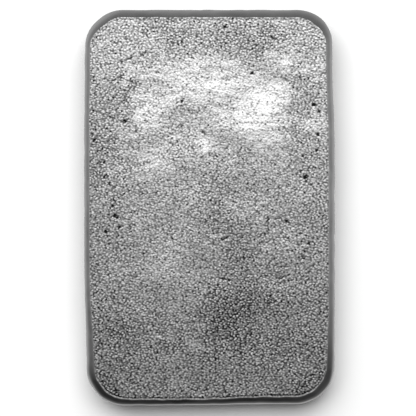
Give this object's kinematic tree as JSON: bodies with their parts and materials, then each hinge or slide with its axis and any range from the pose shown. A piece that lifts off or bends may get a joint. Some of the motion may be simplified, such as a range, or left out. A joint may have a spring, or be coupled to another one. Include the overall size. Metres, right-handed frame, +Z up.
{
  "type": "metal ingot",
  "caption": "Poured silver ingot: a flat cast bar with rounded corners, slightly leaning walls, a soft shoulder and a grainy poured face.",
  "frame": {"origin": "centre of the underside, on the surface that the ingot lies on", "axes": "+X across the width, +Y along the length, +Z up, out of the poured face"},
  "size_m": [0.05, 0.079, 0.0078],
  "materials": {
    "cast_silver": "satin"
  },
  "bodies": {
    "root": {"ingot": "cast_silver"}
  },
  "joints": []
}
